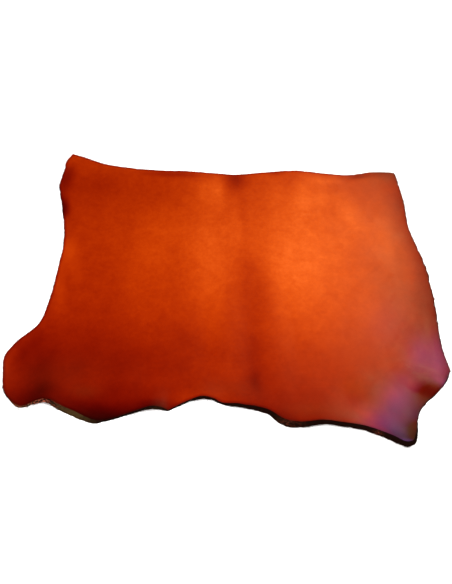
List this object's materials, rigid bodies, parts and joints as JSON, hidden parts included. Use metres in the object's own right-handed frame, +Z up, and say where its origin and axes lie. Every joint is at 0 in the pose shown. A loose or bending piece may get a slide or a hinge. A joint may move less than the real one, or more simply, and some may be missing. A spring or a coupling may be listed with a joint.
{
  "type": "leather hide",
  "caption": "Thick dyed cow shoulder hide, grain side up, lying flat with a gently lifted, irregular raw-cut rim and a spine line down its middle.",
  "frame": {"origin": "middle of the hide's bounding box, on the ground that it lies on", "axes": "+X across the spine to the right as seen from the near edge, +Y from the near edge with its two foreleg lobes to the straighter far edge, +Z up out of the grain side"},
  "size_m": [1.308, 1.1038, 0.022],
  "materials": {
    "hide_leather": "smooth dyed full grain with a soft satin sheen; dark brown raw fibrous edge and flesh side"
  },
  "bodies": {
    "root": {"hide": "hide_leather"}
  },
  "joints": []
}
